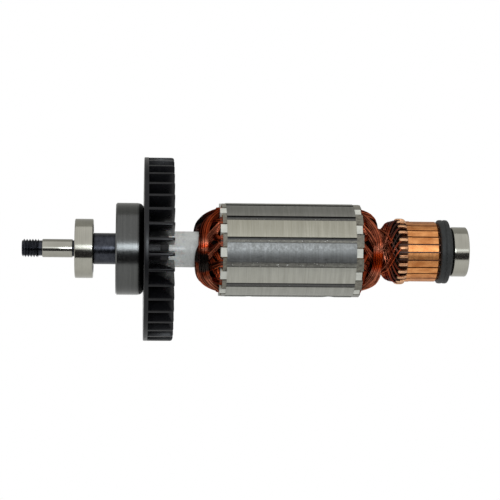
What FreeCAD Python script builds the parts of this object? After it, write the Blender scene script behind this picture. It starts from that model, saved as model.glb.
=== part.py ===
import FreeCAD
import Part
import math
import os

# Armature of a small hand-held grinder motor, in millimetres.
# The shaft lies along X. The origin is the centre of the front bearing, X runs to the commutator
# and Z is up. Angles of what repeats round the shaft are measured from straight up, turning about X.

# Front bearing, and rear bearing: bore, outside, width, ball size and corner rounding
front_bearing = {"bore": 9.0, "outside": 26.0, "width": 8.0, "ball": 4.76, "corner": 0.5}
rear_bearing = {"bore": 8.0, "outside": 22.0, "width": 7.0, "ball": 3.97, "corner": 0.7}
ball_count = 7
race_clearance = 0.12
cage_wall = 1.1
land_share = 0.55
seal_thickness = 0.6
seal_inset = 0.25
seal_gap = 0.15
seal_seat_depth = 0.6

# Shaft
thread_diameter = 8.0
thread_length = 7.2
thread_chamfer = 0.7
undercut_diameter = 6.7
undercut_length = 1.6
seat_diameter = 8.0
seat_length = 13.2
seat_chamfer = 0.3
relief_diameter = 7.1
relief_length = 1.1
collar_diameter = 13.7
collar_length = 9.8
main_diameter = 11.0
commutator_seat_diameter = 10.0
rear_end_inset = 0.3
shaft_chamfer = 0.5
centre_hole_diameter = 2.5
centre_hole_depth = 2.0

# Flywheel drum
drum_diameter = 40.4
drum_length = 12.2
drum_front_chamfer = 0.6
drum_band_step = 0.1
drum_band_length = 9.7
drum_rear_rounding = 2.4

# Cooling fan
fan_diameter = 80.6
fan_plate_thickness = 1.9
fan_width = 12.9
fan_hub_length = 10.9
fan_boss_diameter = 26.0
fan_boss_length = 7.4
blade_count = 38
blade_thickness = 1.2
blade_inner_radius = 23.0
blade_corner = 0.8
blade_phase = 8.0
fan_rim_rounding = 0.5

# Insulation round the shaft
sleeve_diameter = 15.8
spacer_length = 6.8
front_nose_length = 15.3
rear_nose_length = 16.5

# Lamination stack
stack_diameter = 41.2
stack_length = 56.0
slot_count = 12
slot_phase = 18.0
slot_opening = 2.2
slot_floor_radius = 10.8
tooth_width = 4.2
tooth_lip = 1.0
slot_rounding = 0.7
balance_cuts = [{"from_front": 10.5, "width": 4.0, "depth": 0.4},
                {"from_front": 45.8, "width": 6.2, "depth": 0.57}]
balance_cut_angle = 183.0

# End insulators: one arm over the end of each tooth
arm_width = 4.0
arm_step = 0.3
front_arm_thickness = 2.8
rear_arm_thickness = 2.7
insulator_disc_radius = 10.6

# Slot liners and wedges
liner_thickness = 0.3
liner_front_overhang = 2.1
liner_rear_overhang = 2.6
wedge_thickness = 0.85
wedge_key_width = 2.0
wedge_recess = 0.3
wedge_front_overhang = 1.8
wedge_rear_overhang = 3.2

# Windings
front_head_length = 11.3
front_head_neck_radius = 9.2
front_head_recess = 2.3
rear_head_length = 12.2
rear_head_recess = 2.1
waist_radius = 10.6
bundle_depth = 2.2
head_twist = 42.0
lead_depth = 0.7
lead_twist = 15.0
lead_end_radius = 14.0
head_sections = 7
points_per_lobe = 6

# Commutator
bar_count = 24
bar_phase = 9.0
commutator_length = 18.7
commutator_diameter = 26.6
bar_floor_radius = 9.4
bar_gap = 0.6
bar_undercut = 0.5
bar_chamfer = 1.0
turned_step = 0.15
turned_step_length = 2.1
hook_length = 4.1
hook_width = 1.2
hook_radius = 14.7
hook_rounding = 0.6
hook_foot_radius = 13.0

# Dust ring
dust_ring_diameter = 28.2
dust_ring_length = 5.6
dust_ring_bead = 1.1
dust_ring_bead_width = 2.1
dust_ring_groove_width = 0.9
dust_ring_groove_depth = 0.4
dust_ring_groove_rounding = 0.3
dust_ring_rear_rounding = 1.5

# Fits between pieces that turn together, and small spaces left between neighbours
press_fit = 0.03
paper_clearance = 0.05
dust_ring_gap = 0.2
bearing_shoulder_gap = 0.5

# Places along the shaft, each from the piece before it
front_bearing_face = front_bearing["width"] / 2
drum_start = front_bearing_face + collar_length
fan_start = drum_start + drum_length
spacer_start = fan_start + fan_hub_length
nose_start = spacer_start + spacer_length
front_arm_start = nose_start + front_nose_length
stack_start = front_arm_start + front_arm_thickness
stack_end = stack_start + stack_length
rear_arm_end = stack_end + rear_arm_thickness
commutator_start = rear_arm_end + rear_nose_length
commutator_end = commutator_start + commutator_length
dust_ring_start = commutator_end + dust_ring_gap
dust_ring_end = dust_ring_start + dust_ring_length
rear_bearing_start = dust_ring_end + bearing_shoulder_gap
rear_bearing_centre = rear_bearing_start + rear_bearing["width"] / 2
rear_bearing_end = rear_bearing_start + rear_bearing["width"]
waist_place = rear_arm_end + rear_head_length

# Angles between what repeats
slot_pitch = 360.0 / slot_count
tooth_phase = slot_phase + slot_pitch / 2
bar_pitch = 360.0 / bar_count
sleeve_radius = sleeve_diameter / 2
lip_radius = stack_diameter / 2 - tooth_lip
arm_radius = stack_diameter / 2 - arm_step
front_head_radius = stack_diameter / 2 - front_head_recess
rear_head_radius = stack_diameter / 2 - rear_head_recess

origin = FreeCAD.Vector(0, 0, 0)
shaft_axis = FreeCAD.Vector(1, 0, 0)


# Section planes: a lengthwise half section, and a cross-section seen along the shaft
def lengthwise(place, radius):
    return FreeCAD.Vector(place, 0, radius)


def crosswise(across, outward):
    return FreeCAD.Vector(0, across, outward)


# A closed outline through corners (first, second, rounding), with a tangent arc at each rounded one
def rounded_wire(corners, plane):
    points = [plane(first, second) for first, second, _ in corners]
    rims = []
    for index, (_, _, rounding) in enumerate(corners):
        here = points[index]
        to_last = (points[index - 1] - here).normalize()
        to_next = (points[(index + 1) % len(points)] - here).normalize()
        if rounding == 0:
            rims.append((here, here, here))
            continue
        half_angle = to_last.getAngle(to_next) / 2
        reach = rounding / math.tan(half_angle)
        bisector = (to_last + to_next).normalize()
        middle = here + bisector * (rounding / math.sin(half_angle) - rounding)
        rims.append((here + to_last * reach, middle, here + to_next * reach))
    edges = []
    for index, (start, middle, end) in enumerate(rims):
        if start.distanceToPoint(end) > 0:
            edges.append(Part.Arc(start, middle, end).toShape())
        following = rims[(index + 1) % len(rims)][0]
        if end.distanceToPoint(following) > 0:
            edges.append(Part.LineSegment(end, following).toShape())
    return Part.Wire(edges)


# A piece turned about the shaft from a lengthwise half section
def turned(corners):
    return Part.Face(rounded_wire(corners, lengthwise)).revolve(origin, shaft_axis, 360)


# A plain turned ring between two places and two radii
def ring(start, end, inner, outer):
    return turned([(start, inner, 0), (end, inner, 0), (end, outer, 0), (start, outer, 0)])


# A bar of one cross-section along the shaft
def drawn(corners, start, end):
    bar = Part.Face(rounded_wire(corners, crosswise)).extrude(FreeCAD.Vector(end - start, 0, 0))
    bar.translate(FreeCAD.Vector(start, 0, 0))
    return bar


# A block that stands outward from the shaft at the top
def block(start, end, width, inner, outer):
    corner = FreeCAD.Vector(start, -width / 2, inner)
    return Part.makeBox(end - start, width, outer - inner, corner)


# Copies of a piece round the shaft
def around(piece, count, phase):
    copies = []
    for number in range(count):
        copy = piece.copy()
        copy.rotate(origin, shaft_axis, phase + number * 360.0 / count)
        copies.append(copy)
    return copies


def shaft():
    tip = -front_bearing_face - relief_length - seat_length - undercut_length - thread_length
    thread_end = tip + thread_length
    seat_start = thread_end + undercut_length
    seat_end = seat_start + seat_length
    end = rear_bearing_end - rear_end_inset
    thread_radius = thread_diameter / 2
    undercut_radius = undercut_diameter / 2
    seat_radius = seat_diameter / 2
    relief_radius = relief_diameter / 2
    front_journal = front_bearing["bore"] / 2
    rear_journal = rear_bearing["bore"] / 2
    body = turned([
        (tip, 0, 0),
        (tip, thread_radius - thread_chamfer, 0),
        (tip + thread_chamfer, thread_radius, 0),
        (thread_end, thread_radius, 0),
        (thread_end, undercut_radius, 0),
        (seat_start, undercut_radius, 0),
        (seat_start, seat_radius - seat_chamfer, 0),
        (seat_start + seat_chamfer, seat_radius, 0),
        (seat_end, seat_radius, 0),
        (seat_end, relief_radius, 0),
        (-front_bearing_face, relief_radius, 0),
        (-front_bearing_face, front_journal, 0),
        (front_bearing_face, front_journal, 0),
        (front_bearing_face, collar_diameter / 2, 0),
        (drum_start, collar_diameter / 2, 0),
        (drum_start, main_diameter / 2, 0),
        (commutator_start, main_diameter / 2, 0),
        (commutator_start, commutator_seat_diameter / 2, 0),
        (rear_bearing_start, commutator_seat_diameter / 2, 0),
        (rear_bearing_start, rear_journal, 0),
        (end - shaft_chamfer, rear_journal, 0),
        (end, rear_journal - shaft_chamfer, 0),
        (end, 0, 0),
    ])
    hole_radius = centre_hole_diameter / 2
    front_hole = Part.makeCone(hole_radius, 0, centre_hole_depth, FreeCAD.Vector(tip, 0, 0), shaft_axis)
    rear_hole = Part.makeCone(hole_radius, 0, centre_hole_depth, FreeCAD.Vector(end, 0, 0), -shaft_axis)
    return body.cut(front_hole).cut(rear_hole)


# The six pieces of a sealed ball bearing, named after its place on the shaft
def bearing_pieces(name, sizes, centre):
    ball_radius = sizes["ball"] / 2
    pitch_radius = (sizes["bore"] + sizes["outside"]) / 4
    half_width = sizes["width"] / 2
    start = centre - half_width
    end = centre + half_width
    inner_land = pitch_radius - ball_radius * land_share
    outer_land = pitch_radius + ball_radius * land_share
    seat_radius = outer_land + seal_seat_depth
    seal_inner_face = half_width - seal_inset - seal_thickness
    middle = FreeCAD.Vector(centre, 0, 0)
    race = Part.makeTorus(pitch_radius, ball_radius + race_clearance, middle, shaft_axis)

    corner = sizes["corner"]
    outer_ring = turned([
        (start, seat_radius, 0),
        (start, sizes["outside"] / 2, corner),
        (end, sizes["outside"] / 2, corner),
        (end, seat_radius, 0),
        (centre + seal_inner_face, seat_radius, 0),
        (centre + seal_inner_face, outer_land, 0),
        (centre - seal_inner_face, outer_land, 0),
        (centre - seal_inner_face, seat_radius, 0),
    ]).cut(race)
    inner_ring = turned([
        (start, sizes["bore"] / 2 + press_fit, 0),
        (end, sizes["bore"] / 2 + press_fit, 0),
        (end, inner_land, corner / 2),
        (start, inner_land, corner / 2),
    ]).cut(race)

    ball = Part.makeSphere(ball_radius, FreeCAD.Vector(centre, 0, pitch_radius))
    pocket = Part.makeSphere(ball_radius + race_clearance, FreeCAD.Vector(centre, 0, pitch_radius))
    cage_start = centre - seal_inner_face + race_clearance
    cage = ring(cage_start, centre + ball_radius / 2, pitch_radius - cage_wall / 2, pitch_radius + cage_wall / 2)
    cage = cage.cut(Part.makeCompound(around(pocket, ball_count, 0)))

    seal_radius = inner_land + seal_gap
    seal_faces = [("front", start + seal_inset), ("rear", end - seal_inset - seal_thickness)]
    pieces = {
        name + "_outer_ring": outer_ring,
        name + "_inner_ring": inner_ring,
        name + "_balls": Part.makeCompound(around(ball, ball_count, 0)),
        name + "_cage": cage,
    }
    for side, face in seal_faces:
        pieces[name + "_" + side + "_seal"] = ring(face, face + seal_thickness, seal_radius, seat_radius)
    return pieces


# The drum has a turned band, and an unmachined rounded rim beside the fan
def flywheel_drum():
    radius = drum_diameter / 2
    return turned([
        (drum_start, main_diameter / 2 + press_fit, 0),
        (fan_start, main_diameter / 2 + press_fit, 0),
        (fan_start, radius - drum_band_step, drum_rear_rounding),
        (drum_start + drum_band_length, radius - drum_band_step, 0),
        (drum_start + drum_band_length, radius, 0),
        (drum_start + drum_front_chamfer, radius, 0),
        (drum_start, radius - drum_front_chamfer, 0),
    ])


# One blade: an upright plate whose outer free corner is rounded
def fan_blade():
    plate_face = fan_start + fan_plate_thickness
    outline = rounded_wire([
        (plate_face - fan_plate_thickness / 2, blade_inner_radius, 0),
        (fan_start + fan_width, blade_inner_radius, 0),
        (fan_start + fan_width, fan_diameter / 2, blade_corner),
        (plate_face - fan_plate_thickness / 2, fan_diameter / 2, 0),
    ], lengthwise)
    blade = Part.Face(outline).extrude(FreeCAD.Vector(0, blade_thickness, 0))
    blade.translate(FreeCAD.Vector(0, -blade_thickness / 2, 0))
    return blade


def cooling_fan():
    bore = main_diameter / 2 + press_fit
    plate_face = fan_start + fan_plate_thickness
    body = turned([
        (fan_start, bore, 0),
        (spacer_start, bore, 0),
        (spacer_start, sleeve_radius, 0),
        (fan_start + fan_boss_length, sleeve_radius, 0),
        (fan_start + fan_boss_length, fan_boss_diameter / 2, 0),
        (plate_face, fan_boss_diameter / 2, 0),
        (plate_face, fan_diameter / 2, 0),
        (fan_start, fan_diameter / 2, fan_rim_rounding),
    ])
    within = ring(fan_start, fan_start + fan_width, bore, fan_diameter / 2)
    blades = Part.makeCompound(around(fan_blade(), blade_count, blade_phase)).common(within)
    return body.multiFuse(blades.Solids).removeSplitter()


# Outline within one slot: straight sides along the teeth, set in from the slot's walls by an inset
def slot_corners(inset, floor, top, rounding):
    half_pitch = math.radians(slot_pitch / 2)
    corners = []
    for outward, side, corner in [(floor, -1, rounding), (floor, 1, rounding), (top, 1, 0), (top, -1, 0)]:
        across = (outward * math.sin(half_pitch) - tooth_width / 2) / math.cos(half_pitch) - inset
        corners.append((side * across, outward, min(corner, 0.6 * across)))
    return corners


def lamination_stack():
    core = ring(stack_start, stack_end, sleeve_radius + press_fit, stack_diameter / 2)
    slot = drawn(slot_corners(0, slot_floor_radius, lip_radius, slot_rounding), stack_start, stack_end)
    opening = block(stack_start, stack_end, slot_opening, lip_radius - tooth_lip, stack_diameter / 2 + tooth_lip)
    core = core.cut(Part.makeCompound(around(slot.fuse(opening), slot_count, slot_phase)))
    for cut in balance_cuts:
        cutter_radius = (cut["width"] ** 2 / 4 + cut["depth"] ** 2) / (2 * cut["depth"])
        place = stack_start + cut["from_front"]
        outward = stack_diameter / 2 - cut["depth"] + cutter_radius
        start = FreeCAD.Vector(place, -stack_diameter / 4, outward)
        cutter = Part.makeCylinder(cutter_radius, stack_diameter / 2, start, FreeCAD.Vector(0, 1, 0))
        cutter.rotate(origin, shaft_axis, balance_cut_angle)
        core = core.cut(cutter)
    return core


# The paper in each slot is a U open outward, and it stands out past both ends of the stack
def slot_liners():
    start = stack_start - liner_front_overhang
    end = stack_end + liner_rear_overhang
    top = lip_radius - paper_clearance
    outer_floor = slot_floor_radius + paper_clearance
    inner_inset = paper_clearance + liner_thickness
    inner_floor = outer_floor + liner_thickness
    outside = drawn(slot_corners(paper_clearance, outer_floor, top, slot_rounding), start, end)
    inside = drawn(slot_corners(inner_inset, inner_floor, top + tooth_lip, slot_rounding), start, end)
    return Part.makeCompound(around(outside.cut(inside), slot_count, slot_phase))


# A wedge lies under the tooth lips, fills the slot opening with a key and ends in wide tabs
def slot_wedges():
    inset = liner_thickness + 2 * paper_clearance
    top = lip_radius - paper_clearance
    floor = top - wedge_thickness
    key_top = stack_diameter / 2 - wedge_recess
    front = stack_start - wedge_front_overhang
    rear = stack_end + wedge_rear_overhang
    strip = drawn(slot_corners(inset, floor, top, 0), stack_start, stack_end)
    key = block(stack_start, stack_end, wedge_key_width, floor, key_top)
    tab = slot_corners(inset, floor, key_top, 0)
    wedge = strip.multiFuse([key, drawn(tab, front, stack_start), drawn(tab, stack_end, rear)])
    return Part.makeCompound(around(wedge.removeSplitter(), slot_count, slot_phase))


# The wires in each slot as one packed bar, from one winding head to the other
def slot_conductors():
    inset = liner_thickness + 2 * paper_clearance
    floor = slot_floor_radius + inset
    top = lip_radius - wedge_thickness - 2 * paper_clearance
    bar = drawn(slot_corners(inset, floor, top, slot_rounding), front_arm_start, rear_arm_end)
    return Part.makeCompound(around(bar, slot_count, slot_phase))


# A disc with one arm over each tooth, and a nose that insulates the shaft beyond it
def end_insulator(arm_start, arm_end, nose_start_place, nose_end_place):
    bore = main_diameter / 2 + press_fit
    body = ring(arm_start, arm_end, bore, insulator_disc_radius)
    body = body.fuse(ring(nose_start_place, nose_end_place, bore, sleeve_radius))
    arm = block(arm_start, arm_end, arm_width, sleeve_radius, arm_radius)
    return body.multiFuse(around(arm, slot_count, tooth_phase)).removeSplitter()


# One closed outline with a lobe for each bundle of wires
def bundle_outline(place, crest, depth, lobes, angle):
    count = lobes * points_per_lobe
    points = []
    for number in range(count):
        turn = 2 * math.pi * number / count
        radius = crest - depth * (1 - math.cos(lobes * turn)) / 2
        at = turn + math.radians(angle)
        points.append(FreeCAD.Vector(place, -radius * math.sin(at), radius * math.cos(at)))
    return Part.makePolygon(points + points[:1])


# A wound mass: outlines along the shaft, each turned a little past the last, round a plain bore
def wound_mass(stations, lobes, bore):
    outlines = [bundle_outline(place, crest, depth, lobes, angle) for place, crest, depth, angle in stations]
    mass = Part.makeLoft(outlines, True, True)
    start = stations[0][0]
    end = stations[-1][0]
    core = ring(min(start, end), max(start, end), 0, bore)
    return mass.cut(core)


def front_winding_head():
    stations = []
    for number in range(head_sections):
        swing = math.pi / 2 * number / (head_sections - 1)
        rise = math.cos(swing)
        share = math.sin(swing)
        crest = front_head_neck_radius + (front_head_radius - front_head_neck_radius) * rise
        depth = lead_depth + (bundle_depth - lead_depth) * rise
        stations.append((front_arm_start - front_head_length * share, crest, depth, slot_phase + head_twist * share))
    return wound_mass(stations, slot_count, sleeve_radius + press_fit)


def rear_winding_head():
    stations = []
    for number in range(head_sections):
        share = number / (head_sections - 1)
        rise = math.cos(math.pi / 2 * share) ** 1.25
        crest = waist_radius + (rear_head_radius - waist_radius) * rise
        depth = lead_depth + (bundle_depth - lead_depth) * rise
        stations.append((rear_arm_end + rear_head_length * share, crest, depth, slot_phase + head_twist * share))
    return wound_mass(stations, slot_count, sleeve_radius + press_fit)


# The leads spread from the waist to the hooks
def commutator_leads():
    stations = []
    for share in [0, 0.5, 1]:
        place = waist_place + (commutator_start - waist_place) * share
        crest = waist_radius + (lead_end_radius - waist_radius) * share
        stations.append((place, crest, lead_depth, bar_phase - lead_twist * (1 - share)))
    return wound_mass(stations, bar_count, sleeve_radius + press_fit)


# One bar with its hook folded back over the wires at the winding end
def commutator_bar():
    radius = commutator_diameter / 2
    face_start = commutator_start + hook_length
    whole = turned([
        (commutator_start, bar_floor_radius, 0),
        (commutator_end, bar_floor_radius, 0),
        (commutator_end, radius - bar_chamfer, 0),
        (commutator_end - bar_chamfer, radius, 0),
        (face_start + turned_step_length, radius, 0),
        (face_start + turned_step_length, radius + turned_step, 0),
        (face_start, radius + turned_step, 0),
        (face_start, hook_foot_radius, 0),
        (commutator_start, hook_foot_radius, 0),
    ])
    half = math.radians(bar_pitch / 2)
    near = bar_floor_radius / 2
    far = commutator_diameter
    trim = bar_gap / 2 / math.cos(half)
    sector = drawn([
        (-near * math.tan(half) + trim, near, 0),
        (near * math.tan(half) - trim, near, 0),
        (far * math.tan(half) - trim, far, 0),
        (-far * math.tan(half) + trim, far, 0),
    ], commutator_start, commutator_end)
    hook_outline = rounded_wire([
        (commutator_start, hook_foot_radius - bar_undercut, 0),
        (face_start, hook_foot_radius - bar_undercut, 0),
        (face_start, hook_radius - turned_step, hook_rounding),
        (commutator_start, hook_radius, hook_rounding),
    ], lengthwise)
    hook = Part.Face(hook_outline).extrude(FreeCAD.Vector(0, hook_width, 0))
    hook.translate(FreeCAD.Vector(0, -hook_width / 2, 0))
    return whole.common(sector).fuse(hook).removeSplitter()


def commutator_bars():
    return Part.makeCompound(around(commutator_bar(), bar_count, bar_phase))


# The moulded core carries the bars and has a low fin in each gap between them
def commutator_core():
    core_radius = bar_floor_radius - press_fit
    core = ring(commutator_start, commutator_end, commutator_seat_diameter / 2 + press_fit, core_radius)
    fin_width = bar_gap - 2 * press_fit
    low = hook_foot_radius - bar_undercut
    fin = block(commutator_start, commutator_end, fin_width, core_radius - press_fit * 10, low)
    return core.multiFuse(around(fin, bar_count, bar_phase + bar_pitch / 2)).removeSplitter()


# A rounded bead in front, a shallow groove behind it, and a plain rear part
def dust_ring():
    outer = dust_ring_diameter / 2
    groove_start = dust_ring_start + dust_ring_bead_width
    groove_end = groove_start + dust_ring_groove_width
    groove_floor = outer - dust_ring_groove_depth
    return turned([
        (dust_ring_start, commutator_seat_diameter / 2 + press_fit, 0),
        (dust_ring_end, commutator_seat_diameter / 2 + press_fit, 0),
        (dust_ring_end, outer, dust_ring_rear_rounding),
        (groove_end, outer, dust_ring_groove_rounding),
        ((groove_start + groove_end) / 2, groove_floor, dust_ring_groove_rounding),
        (groove_start, outer, dust_ring_groove_rounding),
        (dust_ring_start, outer, dust_ring_bead),
    ])


def all_pieces():
    bore = main_diameter / 2 + press_fit
    pieces = {
        "shaft": shaft(),
        "flywheel_drum": flywheel_drum(),
        "cooling_fan": cooling_fan(),
        "spacer_sleeve": ring(spacer_start, nose_start, bore, sleeve_radius),
        "front_end_insulator": end_insulator(front_arm_start, stack_start, nose_start, stack_start),
        "stack_insulating_tube": ring(stack_start, stack_end, bore, sleeve_radius),
        "rear_end_insulator": end_insulator(stack_end, rear_arm_end, stack_end, commutator_start),
        "lamination_stack": lamination_stack(),
        "slot_liners": slot_liners(),
        "slot_wedges": slot_wedges(),
        "slot_conductors": slot_conductors(),
        "front_winding_head": front_winding_head(),
        "rear_winding_head": rear_winding_head(),
        "commutator_leads": commutator_leads(),
        "commutator_bars": commutator_bars(),
        "commutator_core": commutator_core(),
        "dust_ring": dust_ring(),
    }
    pieces.update(bearing_pieces("front_bearing", front_bearing, 0.0))
    pieces.update(bearing_pieces("rear_bearing", rear_bearing, rear_bearing_centre))
    return pieces


os.makedirs("parts", exist_ok=True)
for name, shape in all_pieces().items():
    print(name, "solids", len(shape.Solids), "volume", round(shape.Volume, 1), "valid", shape.isValid())
    shape.exportStep("parts/" + name + ".step")
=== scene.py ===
import bmesh
import bpy
import math
import random
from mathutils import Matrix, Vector


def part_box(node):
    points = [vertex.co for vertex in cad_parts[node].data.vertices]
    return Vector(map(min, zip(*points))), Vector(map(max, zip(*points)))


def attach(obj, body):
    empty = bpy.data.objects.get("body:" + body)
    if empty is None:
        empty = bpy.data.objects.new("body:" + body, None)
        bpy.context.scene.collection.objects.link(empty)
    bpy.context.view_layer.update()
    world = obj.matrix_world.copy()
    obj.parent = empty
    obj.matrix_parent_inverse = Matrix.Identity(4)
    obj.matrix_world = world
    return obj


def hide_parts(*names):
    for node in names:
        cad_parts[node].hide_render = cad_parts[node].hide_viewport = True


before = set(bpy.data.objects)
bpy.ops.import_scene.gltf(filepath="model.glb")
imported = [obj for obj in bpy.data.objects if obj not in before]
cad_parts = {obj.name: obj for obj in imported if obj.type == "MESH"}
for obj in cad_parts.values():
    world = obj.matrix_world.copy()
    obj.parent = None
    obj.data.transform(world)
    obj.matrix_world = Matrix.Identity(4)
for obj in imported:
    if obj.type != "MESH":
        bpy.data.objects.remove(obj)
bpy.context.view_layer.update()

from types import SimpleNamespace

mm = 0.001

for name in ("Cube", "Light", "Camera"):
    if name in bpy.data.objects:
        bpy.data.objects.remove(bpy.data.objects[name])


# Places along the shaft and radii, read from the frame, in metres
def span(node):
    low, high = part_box(node)
    return low.x, high.x


def outerRadius(node):
    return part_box(node)[1].z


shaftStart, shaftEnd = span("shaft")
bearingStart, bearingEnd = span("front_bearing_outer_ring")
drumStart, drumEnd = span("flywheel_drum")
fanStart, fanEnd = span("cooling_fan")
stackStart, stackEnd = span("lamination_stack")
frontArmStart = span("front_winding_head")[1]
rearArmEnd = span("rear_winding_head")[0]
waist, barsStart = span("commutator_leads")
barsEnd = span("commutator_bars")[1]
fanRadius = outerRadius("cooling_fan")
sleeveRadius = outerRadius("spacer_sleeve")


# The sizes of a piece by name. A decimal number is a length in millimetres, and is given back in metres
def sized(sizes):
    return SimpleNamespace(**{key: value * mm if isinstance(value, float) else value
                              for key, value in sizes.items()})


# A point beside the shaft. The angle starts at the side that faces the camera and grows downward
def around(x, radius, degrees):
    turn = math.radians(degrees)
    return Vector((x, -radius * math.cos(turn), -radius * math.sin(turn)))


# Nodes: each input takes another node's output or a plain value, and a colour may leave out its alpha
def setSockets(node, values):
    for key, value in values.items():
        socket = node.inputs[key]
        if isinstance(value, bpy.types.NodeSocket):
            node.id_data.links.new(value, socket)
        elif socket.type == "RGBA" and len(value) == 3:
            socket.default_value = (*value, 1)
        else:
            socket.default_value = value


def addNode(tree, kind, values=None, **settings):
    node = tree.nodes.new(kind)
    for key, value in settings.items():
        setattr(node, key, value)
    setSockets(node, values or {})
    return node


def mathNode(tree, operation, *values):
    return addNode(tree, "ShaderNodeMath", dict(enumerate(values)), operation=operation).outputs[0]


def vectorNode(tree, operation, values, result="Vector"):
    return addNode(tree, "ShaderNodeVectorMath", values, operation=operation).outputs[result]


# Materials: a small set of helpers, then one function for each finish
def startFinish(name, colour, roughness, metallic=0.0, sockets=None):
    finish = bpy.data.materials.new(name)
    finish.use_nodes = True
    values = {"Base Color": colour, "Roughness": roughness, "Metallic": metallic, **(sockets or {})}
    setSockets(finish.node_tree.nodes["Principled BSDF"], values)
    return finish, finish.node_tree


# The last step of a finish: what its sockets take, and a relief as deep as given in millimetres
def painted(finish, sockets, height=None, depth=0.0, strength=1.0):
    tree = finish.node_tree
    if height:
        bump = {"Height": height, "Strength": strength, "Distance": depth * mm}
        sockets["Normal"] = addNode(tree, "ShaderNodeBump", bump).outputs["Normal"]
    setSockets(tree.nodes["Principled BSDF"], sockets)
    return finish


def objectPlace(tree, scale=(1, 1, 1)):
    point = addNode(tree, "ShaderNodeTexCoord").outputs["Object"]
    return addNode(tree, "ShaderNodeMapping", {"Vector": point, "Scale": scale}).outputs["Vector"]


# Grain: noise whose size is given in millimetres, one for all axes or one for each
def grain(tree, size, detail=3.0, roughness=0.5):
    sides = size if isinstance(size, tuple) else (size, size, size)
    point = objectPlace(tree, tuple(1 / (side * mm) for side in sides))
    values = {"Vector": point, "Scale": 1.0, "Detail": detail, "Roughness": roughness}
    return addNode(tree, "ShaderNodeTexNoise", values).outputs["Fac"]


def ramp(source, stops, interpolation="LINEAR"):
    node = addNode(source.id_data, "ShaderNodeValToRGB", {"Fac": source})
    node.color_ramp.interpolation = interpolation
    while len(node.color_ramp.elements) < len(stops):
        node.color_ramp.elements.new(0.5)
    for element, (position, colour) in zip(node.color_ramp.elements, stops):
        element.position = position
        element.color = (*colour, 1) if isinstance(colour, tuple) else (colour, colour, colour, 1)
    return node.outputs["Color"]


# A ramp with two stops
def fade(source, low, high, start=0.3, end=0.7):
    return ramp(source, [(start, low), (end, high)])


def blendColours(tree, factor, first, second, kind="MIX"):
    values = {"Factor": factor, "A": first, "B": second}
    mix = addNode(tree, "ShaderNodeMix", values, data_type="RGBA", blend_type=kind, clamp_result=True)
    return mix.outputs["Result"]


# A colour darkened by a tone, wholly or in part
def shaded(tree, colour, tone, amount=1.0):
    return blendColours(tree, amount, colour, tone, "MULTIPLY")


def dimmer(colour, share):
    return tuple(share * part for part in colour)


def mapped(tree, value, start, end):
    values = {"Value": value, "From Min": start, "From Max": end}
    return addNode(tree, "ShaderNodeMapRange", values).outputs["Result"]


def axesOf(tree):
    return addNode(tree, "ShaderNodeSeparateXYZ", {"Vector": objectPlace(tree)}).outputs


def alongShaft(tree):
    return axesOf(tree)["X"]


def reachFromShaft(tree):
    return vectorNode(tree, "LENGTH", {0: objectPlace(tree, (0, 1, 1))}, "Value")


# Turn round the shaft in radians, from its far side
def turnOf(tree):
    axes = axesOf(tree)
    return mathNode(tree, "ARCTAN2", axes["Z"], axes["Y"])


# A tone for each of six teeth or slots from the given angle on. They repeat on the other side
def tonesRound(tree, startAngle, tones):
    start = math.radians(startAngle)
    end = math.radians(startAngle + 180)
    turn = mapped(tree, mathNode(tree, "WRAP", turnOf(tree), end, start), start, end)
    return ramp(turn, [(index / len(tones), tone) for index, tone in enumerate(tones)], "CONSTANT")


# Turn from the middle of the nearest slot, in radians and times the given stretch, round 0.5
def acrossSlot(tree, stretch):
    half = math.radians(coreLooks["pitch"] / 2)
    turned = mathNode(tree, "SUBTRACT", turnOf(tree), math.radians(coreLooks["phase"]))
    return mathNode(tree, "MULTIPLY_ADD", mathNode(tree, "WRAP", turned, half, -half), stretch, 0.5)


def groundSteel(name, colour, roughness):
    finish, tree = startFinish(name, colour, roughness, 1.0)
    lines = grain(tree, (0.12, 30, 30))
    smudge = grain(tree, (9, 6, 6), 2.0)
    tone = fade(smudge, dimmer(colour, 0.86), colour)
    return painted(finish, {"Base Color": shaded(tree, tone, fade(lines, 0.55, 1.0), 0.35),
                            "Roughness": fade(smudge, roughness * 0.8, roughness * 1.3, end=0.75)},
                   lines, 0.002, 0.5)


def blackOxide():
    finish, tree = startFinish("blackOxide", (0.045, 0.048, 0.058), 0.24, 1.0)
    cloud = grain(tree, (1.6, 2.2, 2.2), 4.0)
    return painted(finish, {"Base Color": fade(cloud, (0.030, 0.032, 0.040), (0.060, 0.064, 0.076)),
                            "Roughness": fade(cloud, 0.20, 0.32)},
                   grain(tree, (0.15, 20, 20)), 0.006, 0.5)


# The drum is turned grey over its band, and black at its rounded rim
drumLooks = {"blackFrom": 9.1, "blackTo": 10.5}


def drumFinish():
    finish, tree = startFinish("turnedDrum", (0.10, 0.10, 0.09), 0.34, 1.0)
    size = sized(drumLooks)
    onRim = mapped(tree, alongShaft(tree), drumStart + size.blackFrom, drumStart + size.blackTo)
    lines = grain(tree, (0.16, 40, 40), 2.0)
    specks = grain(tree, 0.5, 4.0, 0.7)
    turned = fade(lines, (0.080, 0.082, 0.080), (0.130, 0.132, 0.128), 0.25, 0.75)
    band = shaded(tree, turned, fade(specks, 0.7, 1.0, 0.35, 0.65), 0.55)
    return painted(finish, {"Base Color": blendColours(tree, onRim, band, (0.012, 0.012, 0.012)),
                            "Roughness": fade(specks, 0.15, 0.28)},
                   lines, 0.008, 0.5)


def mottled(tree, colour, specks):
    tone = fade(grain(tree, 3), dimmer(colour, 0.84), colour)
    return shaded(tree, tone, fade(grain(tree, 0.45, 3.0, 0.7), 1 - specks, 1.0, 0.35, 0.65))


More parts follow.
